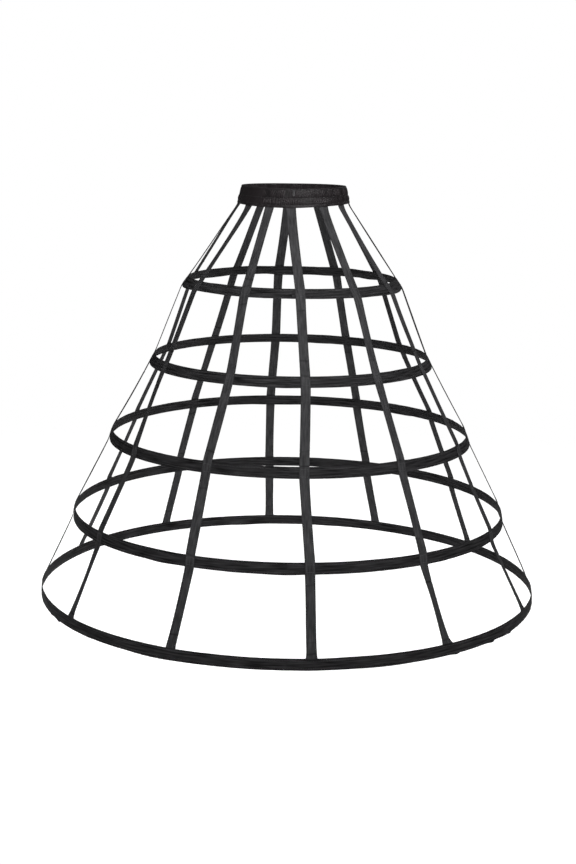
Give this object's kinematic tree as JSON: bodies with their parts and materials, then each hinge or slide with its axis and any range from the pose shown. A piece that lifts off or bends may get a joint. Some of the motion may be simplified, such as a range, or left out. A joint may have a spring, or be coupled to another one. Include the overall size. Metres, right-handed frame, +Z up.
{
  "type": "crinoline cage",
  "caption": "Bell-shaped crinoline cage: boned fabric hoops hung on woven tapes from a gathered elastic waistband, worn under a full skirt.",
  "frame": {"origin": "centre of the waist opening, at the waistband's mid-height", "axes": "+Z up along the hoops' common axis and out of the waist opening; the front, where the buttonhole is, faces -Y; +X is to the right in a front view"},
  "size_m": [1.1194, 1.1194, 0.914],
  "materials": {
    "tape": "plain woven charcoal-black tape, matt",
    "casing_ribbon": "black woven tubular ribbon with lengthwise stitch lines, slight sheen",
    "waistband_cloth": "black plain-weave cloth gathered over elastic in two rows",
    "elastic": "black ribbed knitted elastic",
    "spring_steel": "flat tempered spring steel",
    "joiner_steel": "thin plated sheet steel, crimped"
  },
  "bodies": {
    "root": {"waistband": "waistband_cloth", "waist_elastic": "elastic", "hoop_casing_1": "casing_ribbon", "hoop_casing_2": "casing_ribbon", "hoop_casing_3": "casing_ribbon", "hoop_casing_4": "casing_ribbon", "hoop_casing_5": "casing_ribbon", "hoop_bone_1": "spring_steel", "hoop_bone_2": "spring_steel", "hoop_bone_3": "spring_steel", "hoop_bone_4": "spring_steel", "hoop_bone_5": "spring_steel", "hoop_joiner_1": "joiner_steel", "hoop_joiner_2": "joiner_steel", "hoop_joiner_3": "joiner_steel", "hoop_joiner_4": "joiner_steel", "hoop_joiner_5": "joiner_steel", "tape_01": "tape", "tape_02": "tape", "tape_03": "tape", "tape_04": "tape", "tape_05": "tape", "tape_06": "tape", "tape_07": "tape", "tape_08": "tape", "tape_09": "tape", "tape_10": "tape", "tape_11": "tape", "tape_12": "tape"}
  },
  "joints": []
}
